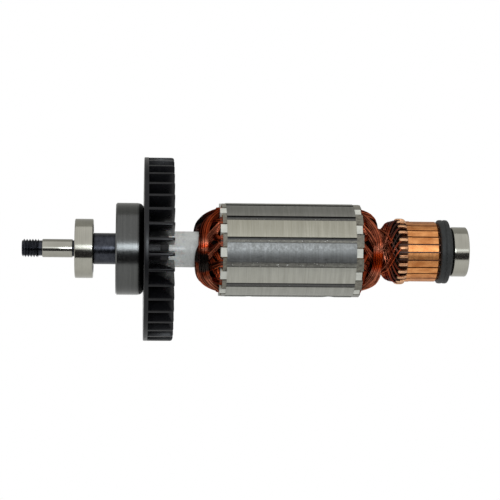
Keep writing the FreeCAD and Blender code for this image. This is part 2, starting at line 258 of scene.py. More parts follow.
def mouldedPlastic(name, colour, roughness, depth, sockets=None, specks=0.1):
    finish, tree = startFinish(name, colour, roughness, 0.0, sockets)
    return painted(finish, {"Base Color": mottled(tree, colour, specks),
                            "Roughness": fade(grain(tree, 3), roughness * 0.85, roughness * 1.2)},
                   grain(tree, 0.35), depth, 0.5)


# Two tones in a cloud whose size is in millimetres. The relief follows the cloud, or a grain of its own size
def cloudedFinish(name, colour, roughness, sockets, size, tones, depth, start=0.3, reliefSize=None):
    finish, tree = startFinish(name, colour, roughness, 0.0, sockets)
    cloud = grain(tree, size, 4.0)
    return painted(finish, {"Base Color": fade(cloud, *tones, start)},
                   grain(tree, reliefSize) if reliefSize else cloud, depth)


# The core's slots, and tones of six teeth, slot edges and wedges in their order, each from its first angle.
# These tones are painted shade and painted reflection, one for each tooth and slot
coreLooks = {"pitch": 30.0, "phase": 18.0, "teethFrom": -12, "slotsFrom": -27,
             "teeth": [(0.42, 0.43, 0.47), (1.06, 1.06, 1.06), (0.96, 0.97, 0.99), (0.80, 0.80, 0.80),
                       (0.66, 0.66, 0.68), (0.95, 0.93, 0.87)],
             "edges": [1.0, 0.25, 1.0, 0.8, 0.9, 1.0], "wedges": [1.0, 0.9, 0.24, 0.6, 0.9, 0.36]}


# Sheet edges: fine lines square to the shaft, ground over. Each tooth has a tone of painted shade and painted
# reflection, and painted shade darkens the teeth along the slot edges, more on some slots than on others
def coreSteel():
    finish, tree = startFinish("groundSheetEdges", (0.37, 0.36, 0.31), 0.45, 1.0)
    sheets = grain(tree, (0.35, 60, 60), 3.0, 0.7)
    bands = grain(tree, (1.3, 60, 9), 3.0, 0.6)
    scratch = grain(tree, (0.9, 1.1, 1.1), 5.0, 0.65)
    lined = shaded(tree, (0.44, 0.435, 0.39), fade(sheets, 0.62, 1.0, end=0.65), 0.5)
    banded = shaded(tree, lined, fade(bands, (0.84, 0.84, 0.82), 1.0))
    # Painted shade and painted reflection: a tone for each tooth by its turn round the shaft
    paintedLightTone = shaded(tree, banded, tonesRound(tree, coreLooks["teethFrom"], coreLooks["teeth"]))
    worn = shaded(tree, paintedLightTone, fade(scratch, 0.7, 1.0, 0.35, 0.6), 0.14)
    # Painted shade along the slot edges, and how strong it is on each slot
    edges = ramp(acrossSlot(tree, 5.0),
                 [(0.125, 1.0), (0.15, 0.05), (0.26, 0.05), (0.735, 0.30), (0.76, 1.0)])
    amount = tonesRound(tree, coreLooks["slotsFrom"], coreLooks["edges"])
    return painted(finish, {"Base Color": blendColours(tree, amount, worn, shaded(tree, worn, edges)),
                            "Roughness": fade(scratch, 0.34, 0.50)},
                   sheets, 0.02, 0.6)


# Grey fibre: in its slot with pale beads, a painted shade and painted reflection tone for each slot, and
# painted shade along its edges; bare past the sheets
def wedgeFibre():
    finish, tree = startFinish("wedgeFibre", (0.11, 0.11, 0.09), 0.45, 0.0,
                               {"Coat Weight": 0.35, "Coat Roughness": 0.2})
    cloud = grain(tree, (1.4, 0.9, 0.9), 4.0)
    beads = fade(grain(tree, (0.9, 0.5, 0.5), 2.0, 0.7), 0.0, 1.0, 0.645, 0.70)
    # Painted shade along the wedge's edges, where it meets the teeth
    edges = ramp(acrossSlot(tree, 9.0), [(0.36, 0.02), (0.42, 1.0), (0.84, 1.0), (0.92, 0.05)])
    grey = fade(cloud, (0.055, 0.052, 0.042), (0.15, 0.145, 0.12))
    beaded = blendColours(tree, beads, grey, (0.75, 0.75, 0.72))
    # Painted shade and painted reflection: a tone for each slot, and painted shade at the edges, stronger on
    # some slots
    dimmed = shaded(tree, beaded, tonesRound(tree, coreLooks["slotsFrom"], coreLooks["wedges"]))
    amount = tonesRound(tree, coreLooks["slotsFrom"], coreLooks["edges"])
    edgeShaded = blendColours(tree, amount, dimmed, shaded(tree, dimmed, edges))
    bare = fade(cloud, (0.055, 0.048, 0.034), (0.155, 0.145, 0.11))
    middle = (stackStart + stackEnd) / 2
    inSlot = mathNode(tree, "COMPARE", alongShaft(tree), middle, (stackEnd - stackStart) / 2)
    return painted(finish, {"Base Color": blendColours(tree, inSlot, bare, edgeShaded)}, beads, 0.12)


# Enamelled copper, each wire of its own tone. The mark runs from a painted highlight (-2) and dull brown (-1)
# to near-black painted shade (1)
def enamelWire():
    finish, tree = startFinish("enamelWire", (0.20, 0.034, 0.011), 0.26, 0.92,
                               {"Coat Roughness": 0.15, "Specular Tint": (0.85, 0.35, 0.22)})
    tone = addNode(tree, "ShaderNodeAttribute", attribute_name="wireTone").outputs["Fac"]
    mark = addNode(tree, "ShaderNodeAttribute", attribute_name="lightMark").outputs["Fac"]
    patches = grain(tree, 2.6, 2.0)
    wire = ramp(tone, [(0.0, (0.030, 0.005, 0.003)), (0.25, (0.14, 0.020, 0.006)),
                       (0.7, (0.24, 0.036, 0.010)), (1.0, (0.42, 0.066, 0.016))])
    brown = ramp(tone, [(0.0, (0.11, 0.038, 0.022)), (0.3, (0.34, 0.115, 0.065)), (1.0, (0.60, 0.235, 0.14))])
    highlightRed = ramp(tone, [(0.0, (0.16, 0.014, 0.002)), (0.4, (0.40, 0.032, 0.003)), (1.0, (0.60, 0.07, 0.006))])
    lighter = mathNode(tree, "MULTIPLY", mark, -0.5)
    browned = blendColours(tree, fade(lighter, 0.0, 1.0, 0.0, 0.5), wire, brown)
    paintedLightTone = blendColours(tree, fade(lighter, 0.0, 1.0, 0.40, 0.76), browned, highlightRed)
    red = shaded(tree, paintedLightTone, fade(patches, 0.4, 1.0, 0.34, 0.50), 0.8)
    # Painted shade: near black where the mark is high, patchy at its edge
    paintedShade = fade(mathNode(tree, "MULTIPLY_ADD", patches, 0.7, mark), 0.0, 1.0, 0.50, 1.0)
    return painted(finish, {"Base Color": blendColours(tree, paintedShade, red, (0.018, 0.014, 0.011)),
                            "Coat Weight": fade(mark, 0.04, 0.25, 0.0, 0.6),
                            "Roughness": fade(patches, 0.32, 0.18, end=0.6)},
                   grain(tree, 0.5), 0.02, 0.4)


# Wires packed in a slot: dark red lines along the shaft
def packedWires():
    finish, tree = startFinish("packedWires", (0.12, 0.03, 0.012), 0.4, 0.5)
    strands = grain(tree, (12, 0.45, 0.45), 2.0)
    lines = [(0.42, (0.008, 0.005, 0.004)), (0.52, (0.13, 0.024, 0.009)), (0.66, (0.34, 0.080, 0.030))]
    return painted(finish, {"Base Color": ramp(strands, lines)}, strands, 0.25)


# The nose under the winding matches the sleeve, the disc and its arms are white
def insulatorFinish():
    finish, tree = startFinish("whiteInsulator", (0.66, 0.66, 0.61), 0.45)
    onNose = mathNode(tree, "LESS_THAN", reachFromShaft(tree), sleeveRadius + 0.3 * mm)
    white = mottled(tree, (0.52, 0.52, 0.465), 0.12)
    milky = mottled(tree, (0.60, 0.61, 0.585), 0.30)
    colour = blendColours(tree, onNose, white, milky)
    return painted(finish, {"Base Color": colour}, grain(tree, 0.35), 0.03, 0.5)


# Turned copper over the brush face, duller on the hooks and lighter there as a painted highlight, with
# near-black painted shade under them
copperLooks = {"hookFrom": 4.6, "hookTo": 3.9, "underHooks": 13.5}


def copperFinish():
    finish, tree = startFinish("turnedCopper", (0.56, 0.24, 0.085), 0.26, 1.0)
    size = sized(copperLooks)
    onHook = mapped(tree, alongShaft(tree), barsStart + size.hookFrom, barsStart + size.hookTo)
    inside = mathNode(tree, "LESS_THAN", reachFromShaft(tree), size.underHooks)
    # Painted shade on the hooks' feet, in the gaps between the hooks
    under = mathNode(tree, "MULTIPLY", onHook, inside)
    lines = grain(tree, (0.10, 50, 50), 2.0)
    stain = grain(tree, (5, 2.2, 2.2), 4.0)
    face = shaded(tree, fade(stain, (0.50, 0.175, 0.052), (0.84, 0.38, 0.14)), fade(lines, 0.6, 1.0), 0.4)
    copper = blendColours(tree, onHook, face, fade(stain, (0.47, 0.22, 0.11), (0.80, 0.48, 0.27)))
    return painted(finish, {"Base Color": blendColours(tree, under, copper, (0.06, 0.026, 0.014)),
                            "Roughness": fade(lines, 0.30, 0.42)},
                   lines, 0.006, 0.5)


finishes = {
    "ground": groundSteel("groundSteel", (0.41, 0.40, 0.35), 0.15),
    "bearing": groundSteel("bearingSteel", (0.42, 0.41, 0.355), 0.14),
    "ball": groundSteel("polishedBalls", (0.75, 0.75, 0.75), 0.06),
    "oxide": blackOxide(),
    "drum": drumFinish(),
    "fan": mouldedPlastic("satinBlack", (0.006, 0.006, 0.007), 0.30, 0.015, {"Specular IOR Level": 0.26}),
    "sleeve": mouldedPlastic("milkySleeve", (0.60, 0.61, 0.585), 0.28, 0.02,
                             {"Subsurface Weight": 0.2, "Subsurface Scale": 0.002}, 0.30),
    "insulator": insulatorFinish(),
    "core": coreSteel(),
    "paper": cloudedFinish("linerPaper", (0.25, 0.16, 0.08), 0.5, {"Coat Weight": 0.3}, 1.2,
                           ((0.14, 0.085, 0.04), (0.30, 0.21, 0.11)), 0.03),
    "wedge": wedgeFibre(),
    "wire": enamelWire(),
    # Painted shade: the near-black core inside the windings
    "dark": cloudedFinish("paintedShadeCore", (0.010, 0.006, 0.004), 0.8, {"Specular IOR Level": 0.03}, 1.0,
                          ((0.003, 0.002, 0.0015), (0.012, 0.005, 0.003)), 0.3, start=0.35),
    "packed": packedWires(),
    "copper": copperFinish(),
    "moulding": mouldedPlastic("brownMoulding", (0.10, 0.030, 0.015), 0.45, 0.03),
    "rubber": cloudedFinish("mattRubber", (0.010, 0.011, 0.011), 0.55, {"Specular IOR Level": 0.4}, 1.5,
                            ((0.006, 0.007, 0.007), (0.014, 0.016, 0.016)), 0.02, reliefSize=0.3),
    "cage": mouldedPlastic("cagePlastic", (0.30, 0.27, 0.20), 0.5, 0.02),
}
print("finishes made:", len(finishes))


# Meshes: finished pieces lie at the origin with their place in the mesh
def addObject(name, data):
    item = bpy.data.objects.new(name, data)
    bpy.context.scene.collection.objects.link(item)
    return item


def meshFrom(form, name):
    mesh = bpy.data.meshes.new(name)
    form.to_mesh(mesh)
    form.free()
    return mesh


def joinMeshes(name, meshes):
    form = bmesh.new()
    for mesh in meshes:
        form.from_mesh(mesh)
    return meshFrom(form, name)


def pieceFrom(name, mesh, smoothDegrees, *coats):
    for coat in coats:
        mesh.materials.append(finishes[coat])
    mesh.shade_smooth()
    mesh.set_sharp_from_angle(angle=math.radians(smoothDegrees))
    return addObject(name, mesh)


# Every dressed piece turns with the rotor and stands in for one CAD node
def place(piece, node):
    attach(piece, "rotor")
    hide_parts(node)
    print("placed", piece.name, "triangles", sum(len(face.vertices) - 2 for face in piece.data.polygons))


# A turned mesh from a profile of (x, radius) in metres, closed where it meets the axis
def turnedMesh(name, profile, segments, closed=False):
    form = bmesh.new()
    rings = []
    for x, radius in profile:
        count = segments if radius else 1
        rings.append([form.verts.new(around(x, radius, 360 * step / segments)) for step in range(count)])
    pairs = list(zip(rings, rings[1:]))
    if closed:
        pairs.append((rings[-1], rings[0]))
    for first, second in pairs:
        for step in range(segments):
            places = ((first, step), (second, step), (second, step + 1), (first, step + 1))
            corners = dict.fromkeys(ring[index % len(ring)] for ring, index in places)
            form.faces.new(list(corners))
    bmesh.ops.recalc_face_normals(form, faces=form.faces)
    return meshFrom(form, name)


# Corners of a profile, each (x, radius, softening), rounded by short runs
def softened(corners, steps=3):
    points = []
    for index, (x, radius, soft) in enumerate(corners):
        here = Vector((x, radius))
        if not soft or index in (0, len(corners) - 1):
            points.append((x, radius))
            continue
        before = Vector(corners[index - 1][:2]) - here
        after = Vector(corners[index + 1][:2]) - here
        start = here + before.normalized() * min(soft, before.length * 0.45)
        end = here + after.normalized() * min(soft, after.length * 0.45)
        for step in range(steps + 1):
            share = step / steps
            point = start.lerp(here, share).lerp(here.lerp(end, share), share)
            points.append((point.x, point.y))
    return points


# Shaft: ground seat and journals, black thread, relief and collar, with a right-hand thread
shaftSizes = {"threadPitch": 1.25, "threadRadius": 3.96, "rootRadius": 3.25, "threadEnd": 7.2,
              "threadChamfer": 0.75, "flanks": (0.12, 0.88), "overlap": 0.05, "undercut": 1.6,
              "undercutRadius": 3.35, "seatEnd": 22.0, "seatRadius": 4.0, "seatBevel": 0.3,
              "reliefRadius": 3.55, "journalRadius": 4.5, "collarRadius": 6.85, "collarBevel": 0.25,
              "mainRadius": 5.5, "commutatorSeat": 5.0, "rearJournal": 4.0, "endBevel": 0.5,
              "centreDepth": 2.0, "centreRadius": 1.25, "softening": 0.15, "segments": 96, "rowsPerTurn": 12}


def shaftProfile(size, neckEnd, seatEnd):
    start = shaftStart + size.threadEnd - size.overlap
    rearStart = span("rear_bearing_inner_ring")[0]
    soft = size.softening
    return softened([
        (start, 0.0, 0), (start, size.undercutRadius, soft), (neckEnd, size.undercutRadius, soft),
        (neckEnd, size.seatRadius - size.seatBevel, soft), (neckEnd + size.seatBevel, size.seatRadius, soft),
        (seatEnd, size.seatRadius, soft), (seatEnd, size.reliefRadius, soft),
        (bearingStart, size.reliefRadius, 0), (bearingStart, size.journalRadius, 0),
        (bearingEnd, size.journalRadius, 0), (bearingEnd, size.collarRadius - size.collarBevel, soft),
        (bearingEnd + size.collarBevel, size.collarRadius, soft), (drumStart, size.collarRadius, 0),
        (drumStart, size.mainRadius, 0), (barsStart, size.mainRadius, 0), (barsStart, size.commutatorSeat, 0),
        (rearStart, size.commutatorSeat, 0), (rearStart, size.rearJournal, 0),
        (shaftEnd - size.endBevel, size.rearJournal, soft),
        (shaftEnd, size.rearJournal - size.endBevel, soft), (shaftEnd, size.centreRadius, soft),
        (shaftEnd - size.centreDepth, 0.0, 0)])


# Rows of the thread run along its helix, so that its crests stay clean
def threadMesh(size):
    rows = size.rowsPerTurn
    segments = size.segments
    start = shaftStart
    end = shaftStart + size.threadEnd
    step = size.threadPitch / rows
    count = int(size.threadEnd / step) + 2 * rows + 1
    crestShare, rootShare = size.flanks
    tip = size.threadRadius - size.threadChamfer

    def height(row):
        away = abs((row % rows) / rows - 0.5) * 2
        share = (rootShare - away) / (rootShare - crestShare)
        return size.rootRadius + (size.threadRadius - size.rootRadius) * min(1.0, max(0.0, share))

    form = bmesh.new()
    grid = {}
    for row in range(-rows, count + rows):
        for segment in range(segments):
            x = start + row * step + size.threadPitch * (segment / segments - 1)
            held = min(max(x, start), end)
            radius = min(height(row), tip + held - start) if x >= start else tip
            turn = 2 * math.pi * segment / segments
            grid[row, segment] = form.verts.new((held, radius * math.cos(turn), radius * math.sin(turn)))
    for row in range(-rows, count + rows - 1):
        for segment in range(segments):
            following = (row, segment + 1) if segment + 1 < segments else (row + rows, 0)
            above = (following[0] + 1, following[1])
            if above in grid and following in grid:
                form.faces.new((grid[row, segment], grid[following], grid[above], grid[row + 1, segment]))
    bmesh.ops.remove_doubles(form, verts=form.verts, dist=1e-6)
    bmesh.ops.dissolve_degenerate(form, edges=form.edges, dist=1e-6)
    bmesh.ops.holes_fill(form, edges=[edge for edge in form.edges if edge.is_boundary], sides=400)
    bmesh.ops.recalc_face_normals(form, faces=form.faces)
    return meshFrom(form, "thread")


def makeShaft():
    size = sized(shaftSizes)
    neckEnd = shaftStart + size.threadEnd + size.undercut
    seatEnd = shaftStart + size.seatEnd
    body = turnedMesh("shaftBody", shaftProfile(size, neckEnd, seatEnd), size.segments)
    mesh = joinMeshes("turned_shaft", [body, threadMesh(size)])
    piece = pieceFrom("turned_shaft", mesh, 30, "ground", "oxide")
    margin = 0.02 * mm
    black = ((shaftStart - mm, neckEnd + margin), (seatEnd - margin, bearingStart), (bearingEnd, drumEnd))
    for face in mesh.polygons:
        x = sum(mesh.vertices[index].co.x for index in face.vertices) / len(face.vertices)
        face.material_index = int(any(low <= x <= high for low, high in black))
    place(piece, "shaft")


makeShaft()


# Geometry Nodes: a tree with named inputs, that ends in real meshes with their finish
def newTree(name, inputs):
    tree = bpy.data.node_groups.new(name, "GeometryNodeTree")
    for label, kind in {"Geometry": "Geometry", **inputs, "Finish": "Material"}.items():
        tree.interface.new_socket(label, in_out="INPUT", socket_type="NodeSocket" + kind)
    tree.interface.new_socket("Geometry", in_out="OUTPUT", socket_type="NodeSocketGeometry")
    return tree, tree.nodes.new("NodeGroupInput").outputs


def finishTree(tree, geometry, given):
    real = addNode(tree, "GeometryNodeRealizeInstances", {0: geometry}).outputs[0]
    coat = addNode(tree, "GeometryNodeSetMaterial", {"Geometry": real, "Material": given["Finish"]})
    addNode(tree, "NodeGroupOutput", {0: coat.outputs[0]})
    return tree


# Copies of one template round the shaft
def copiesTree():
    tree, given = newTree("copiesRoundShaft", {"Template": "Object", "Count": "Int", "Phase": "Float"})
    template = addNode(tree, "GeometryNodeObjectInfo", {"Object": given["Template"]})
    points = addNode(tree, "GeometryNodePoints", {"Count": given["Count"]})
    number = addNode(tree, "GeometryNodeInputIndex").outputs[0]
    share = mathNode(tree, "DIVIDE", number, given["Count"])
    angle = mathNode(tree, "MULTIPLY_ADD", share, 2 * math.pi, given["Phase"])
    turn = addNode(tree, "ShaderNodeCombineXYZ", {"X": angle})
    spin = addNode(tree, "FunctionNodeEulerToRotation", {0: turn.outputs[0]})
    copies = addNode(tree, "GeometryNodeInstanceOnPoints", {
        "Points": points.outputs[0], "Instance": template.outputs["Geometry"], "Rotation": spin.outputs[0]})
    return finishTree(tree, copies.outputs[0], given)


# Runs a tree on a mesh and gives the result as a plain mesh. Inputs are set by their sockets' identifiers
def runTree(name, tree, mesh, values):
    carrier = addObject(name + "Carrier", mesh)
    modifier = carrier.modifiers.new("nodes", "NODES")
    modifier.node_group = tree
    for item in tree.interface.items_tree:
        if item.item_type == "SOCKET" and item.in_out == "INPUT" and item.name in values:
            modifier[item.identifier] = values[item.name]
    graph = bpy.context.evaluated_depsgraph_get()
    result = bpy.data.meshes.new_from_object(carrier.evaluated_get(graph), preserve_all_data_layers=True,
                                             depsgraph=graph)
    carrier.modifiers.remove(modifier)
    bpy.data.objects.remove(carrier)
    result.name = name
    return result


roundShaft = copiesTree()


def copiesOf(name, templateMesh, count, phaseDegrees, finish):
    template = addObject(name + "Template", templateMesh)
    mesh = runTree(name, roundShaft, bpy.data.meshes.new(name + "Start"),
                   {"Template": template, "Count": count, "Phase": math.radians(phaseDegrees),
                    "Finish": finishes[finish]})
    bpy.data.objects.remove(template)
    return mesh


# A bevelled prism: an outline of (x, z) corners in metres, as thick as given, centred on the shaft's plane
def bevelledPlate(name, outline, thickness, bevel, segments=2):
    form = bmesh.new()
    near = [form.verts.new((x, -thickness / 2, z)) for x, z in outline]
    far = [form.verts.new((x, thickness / 2, z)) for x, z in outline]
    form.faces.new(near)
    form.faces.new(list(reversed(far)))
    for index in range(len(outline)):
        following = (index + 1) % len(outline)
        form.faces.new((near[index], far[index], far[following], near[following]))
    bmesh.ops.recalc_face_normals(form, faces=form.faces)
    bmesh.ops.bevel(form, geom=form.edges[:], offset=bevel, segments=segments, affect="EDGES", profile=0.5,
                    clamp_overlap=True)
    return meshFrom(form, name)


# Fan: a turned plate with its boss, and 38 straight blades whose outer rear corner is cut in two steps
fanSizes = {"plate": 1.9, "plateEdge": 0.12, "boss": 13.0, "bossLength": 7.4, "hubLength": 10.9,
            "hubStep": 1.0, "hubEdge": 0.2, "bore": 5.53, "softening": 0.35, "segments": 144,
            "bladeCount": 38, "bladeThickness": 1.2, "bladeInner": 23.0, "bladeRoot": 0.6, "tipGap": 0.03,
            "corner": 0.9, "cornerLength": 0.25, "cornerDrop": 0.3, "phase": 8, "bevel": 0.14}


def makeFan():
    size = sized(fanSizes)
    plateFace = fanStart + size.plate
    hubEnd = fanStart + size.hubLength
    bossEnd = fanStart + size.bossLength
    root = plateFace - size.bladeRoot
    tip = fanRadius - size.tipGap
    soft = size.softening
    disc = turnedMesh("fanDisc", softened([
        (fanStart, size.bore, 0), (fanStart, fanRadius, soft), (plateFace, fanRadius, size.plateEdge),
        (plateFace, size.boss, soft), (bossEnd, size.boss, soft),
        (bossEnd, sleeveRadius + size.hubStep, soft), (hubEnd, sleeveRadius, size.hubEdge),
        (hubEnd, size.bore, 0)]), size.segments, closed=True)
    blade = bevelledPlate("fanBlade", [
        (root, size.bladeInner), (fanEnd, size.bladeInner), (fanEnd, fanRadius - size.corner),
        (fanEnd - size.cornerLength, fanRadius - size.cornerDrop), (fanEnd - size.corner, tip), (root, tip)],
        size.bladeThickness, size.bevel)
    blades = copiesOf("fanBlades", blade, size.bladeCount, size.phase, "fan")
    mesh = joinMeshes("bladed_fan", [disc, blades])
    place(pieceFrom("bladed_fan", mesh, 40, "fan"), "cooling_fan")


makeFan()


# Dust ring: a grooved flange with a rounded lip, and a lower step toward the rear bearing
dustSizes = {"bore": 5.02, "lip": 1.1, "lipWidth": 2.0, "grooveWidth": 0.8, "grooveDepth": 0.4, "step": 1.0,
             "stepRadius": 11.2, "rounding": 0.9, "softening": 0.25, "segments": 96}


def makeDustRing():
    size = sized(dustSizes)
    start, end = span("dust_ring")
    outer = outerRadius("dust_ring")
    soft = size.softening
    grooveStart = start + size.lipWidth
    grooveEnd = grooveStart + size.grooveWidth
    profile = softened([
        (start, size.bore, 0), (start, outer, size.lip), (grooveStart, outer, soft),
        ((grooveStart + grooveEnd) / 2, outer - size.grooveDepth, soft), (grooveEnd, outer, soft),
        (end - size.step, outer, size.rounding), (end - size.step, size.stepRadius, soft),
        (end, size.stepRadius, soft), (end, size.bore, 0)])
    mesh = turnedMesh("turned_dust_ring", profile, size.segments, closed=True)
    place(pieceFrom("turned_dust_ring", mesh, 35, "rubber"), "dust_ring")


makeDustRing()


# Commutator: 24 copper bars with hooks. Each rounding goes along a hook's back as (from its end, drop)
barSizes = {"count": 24, "phase": 9, "columns": 5, "radius": 13.3, "floor": 9.4, "gap": 0.6, "chamfer": 1.0,
            "step": 0.15, "stepLength": 2.1, "stepSlope": 0.1, "hookLength": 4.1, "hookOverlap": 0.25,
            "hookWidth": 1.35, "hookRadius": 14.65, "hookRoot": 0.5, "hookSetBack": 0.35, "hookBevel": 0.36,
            "footRadius": 12.95, "rearRounding": ((0.0, 0.75), (0.7, 0.2), (1.5, 0.0)),
            "frontRounding": ((0.9, 0.0), (0.25, 0.3), (0.0, 0.95))}


def commutatorBar(size):
    hookEnd = barsStart + size.hookLength
    stepEnd = hookEnd + size.stepLength
    stepped = size.radius + size.step
    stations = [(barsStart, size.footRadius), (hookEnd, size.footRadius), (hookEnd, stepped),
                (stepEnd, stepped), (stepEnd + size.stepSlope, size.radius),
                (barsEnd - size.chamfer, size.radius), (barsEnd, size.radius - size.chamfer)]

    def halfAngle(radius):
        return math.pi / size.count - math.asin(size.gap / 2 / radius)

    form = bmesh.new()
    rings = []
    shares = [2 * column / (size.columns - 1) - 1 for column in range(size.columns)]
    floor = [(size.floor, side * halfAngle(size.floor)) for side in (1, -1)]
    for x, radius in stations:
        corners = [(radius, share * halfAngle(radius)) for share in shares] + floor
        rings.append([form.verts.new((x, far * math.sin(turn), far * math.cos(turn)))
                      for far, turn in corners])
    for first, second in zip(rings, rings[1:]):
        for index in range(len(first)):
            following = (index + 1) % len(first)
            form.faces.new((first[index], first[following], second[following], second[index]))
    form.faces.new(rings[0])
    form.faces.new(list(reversed(rings[-1])))
    bmesh.ops.recalc_face_normals(form, faces=form.faces)
    return meshFrom(form, "copperBar")


def commutatorHook(size):
    end = barsStart + size.hookLength + size.hookOverlap
    low = size.footRadius - size.hookRoot
    high = size.hookRadius
    outline = [(barsStart + size.hookSetBack, low), (end, low)]
    outline += [(end - length * mm, high - drop * mm) for length, drop in size.rearRounding]
    outline += [(barsStart + length * mm, high - drop * mm) for length, drop in size.frontRounding]
    return bevelledPlate("copperHook", outline, size.hookWidth, size.hookBevel, 3)


def makeCommutator():
    size = sized(barSizes)
    template = joinMeshes("barWithHook", [commutatorBar(size), commutatorHook(size)])
    mesh = copiesOf("hooked_bars", template, size.count, size.phase, "copper")
    place(pieceFrom("hooked_bars", mesh, 40), "commutator_bars")


makeCommutator()


# Windings: each bundle of wires follows a line, and the tree lays its wires side by side round that line
def wiresTree():
    tree, given = newTree("wiresAlongLines", {"Wires": "Int", "Wire Radius": "Float", "Wander": "Float",
                                              "Wander Size": "Float", "Seed": "Int", "Sides": "Int"})

    def named(label, kind="FLOAT"):
        node = addNode(tree, "GeometryNodeInputNamedAttribute", {"Name": label}, data_type=kind)
        return node.outputs["Attribute"]

    def scaled(vector, scale):
        return vectorNode(tree, "SCALE", {0: vector, "Scale": scale})

    lines = addNode(tree, "GeometryNodeMeshToCurve", {0: given["Geometry"]})
    copies = addNode(tree, "GeometryNodeDuplicateElements",
                     {"Geometry": lines.outputs[0], "Amount": given["Wires"]}, domain="SPLINE")
    number = copies.outputs["Duplicate Index"]
    share = mathNode(tree, "DIVIDE", mathNode(tree, "ADD", number, 0.5), given["Wires"])
    reach = mathNode(tree, "SQRT", share)
    golden = math.pi * (3 - math.sqrt(5))
    turn = mathNode(tree, "MULTIPLY_ADD", number, golden, named("roll"))

    def spread(label, wave):
        part = mathNode(tree, "MULTIPLY", reach, mathNode(tree, wave, turn))
        return scaled(named(label, "FLOAT_VECTOR"), part)

    here = addNode(tree, "GeometryNodeInputPosition").outputs[0]
    noise = addNode(tree, "ShaderNodeTexNoise", {
        "Detail": 1.0, "Scale": 1.0, "Vector": scaled(here, given["Wander Size"]),
        "W": mathNode(tree, "MULTIPLY_ADD", number, 3.7, given["Seed"])}, noise_dimensions="4D")
    centred = vectorNode(tree, "SUBTRACT", {0: noise.outputs["Color"], 1: (0.5, 0.5, 0.5)})
    beside = vectorNode(tree, "ADD", {0: spread("across", "COSINE"), 1: spread("outward", "SINE")})
    offset = vectorNode(tree, "ADD", {0: beside, 1: scaled(centred, given["Wander"])})
    move = addNode(tree, "GeometryNodeSetPosition", {"Geometry": copies.outputs[0], "Offset": offset})
    label = mathNode(tree, "MULTIPLY_ADD", number, 31, named("bundle"))
    tone = addNode(tree, "FunctionNodeRandomValue", {"ID": label, "Seed": given["Seed"]}, data_type="FLOAT")
    store = addNode(tree, "GeometryNodeStoreNamedAttribute",
                    {"Name": "wireTone", "Geometry": move.outputs[0], "Value": tone.outputs["Value"]},
                    data_type="FLOAT", domain="POINT")
    rim = addNode(tree, "GeometryNodeCurvePrimitiveCircle",
                  {"Resolution": given["Sides"], "Radius": given["Wire Radius"]})
    tube = addNode(tree, "GeometryNodeCurveToMesh",
                   {"Fill Caps": True, "Curve": store.outputs[0], "Profile Curve": rim.outputs[0]})
    return finishTree(tree, tube.outputs[0], given)


wiresAlong = wiresTree()


# Lines as a mesh of chained edges. Each point has its place, two half widths, a roll and a mark of painted
# light and shade
def linesMesh(name, lines):
    points = []
    edges = []
    values = {"across": [], "outward": [], "roll": [], "bundle": [], "lightMark": []}
    for number, line in enumerate(lines):
        first = len(points)
        for index, (point, side, out, roll, lightMark) in enumerate(line):
            points.append(point)
            values["across"].extend(side)
            values["outward"].extend(out)
            values["roll"].append(roll)
            values["bundle"].append(number)
            values["lightMark"].append(lightMark)
            if index:
                edges.append((first + index - 1, first + index))
    mesh = bpy.data.meshes.new(name)
    mesh.from_pydata(points, edges, [])
    for label, numbers in values.items():
        isVector = label in ("across", "outward")
        layer = mesh.attributes.new(label, "FLOAT_VECTOR" if isVector else "FLOAT", "POINT")
        layer.data.foreach_set("vector" if isVector else "value", numbers)
    return mesh


def windWires(name, lines, size, seed):
    return runTree(name, wiresAlong, linesMesh(name + "Lines", lines),
                   {"Wires": size.wires, "Wire Radius": size.wireRadius, "Sides": size.sides, "Seed": seed,
                    "Wander": size.wander, "Wander Size": size.wanderSize, "Finish": finishes["wire"]})


# A coil leaves one slot and comes back in another, five slots on. Its ends lie beside their neighbours
headSizes = {"span": 72, "samples": 26, "wires": 26, "sides": 6, "wireRadius": 0.32, "slotRadius": 16.5,
             "slotWidth": 0.85, "slotDepth": 2.5, "midDepth": 1.05, "wander": 0.25, "wanderSize": 90,
             "arm": 2.8}
# Coils by middle angle, in pairs: lift, squareness, middle radius, half width, fall from each of the slots.
# Marks by middle angle: first and last share of the coil's length, from -1 to 1, and the mark of painted
# light and shade
frontHead = {
    "side": -1, "lineSeed": 4, "wireSeed": 11,
    "coils": {3: (7.4, 4.5, 12.9, 2.3, 1.6, 1.6), 33: (8.9, 3.0, 10.4, 2.2, 2.2, 1.2),
              63: (8.2, 3.0, 9.9, 2.0, 3.0, 3.0), 93: (7.4, 3.0, 9.5, 2.0, 3.0, 3.0),
              123: (6.6, 3.0, 9.2, 1.9, 3.0, 3.5), 153: (5.8, 3.0, 9.0, 1.8, 3.0, 3.5)},
    "marks": {213: [(-1.0, 0.72, 1.0)], 243: [(-0.6, 0.7, 1.0)],
              3: [(-0.22, -0.04, -2.0), (0.02, 0.56, 1.1), (0.56, 1.0, -0.8)],
              33: [(-1.0, -0.5, -0.45), (-0.4, 0.0, 1.0), (0.0, 1.0, -0.5)], 63: [(-1.0, -0.4, -0.5)],
              93: [(-1.0, -0.5, -0.3)], 183: [(-0.4, 0.1, 1.0), (0.4, 1.0, -0.6)]}}
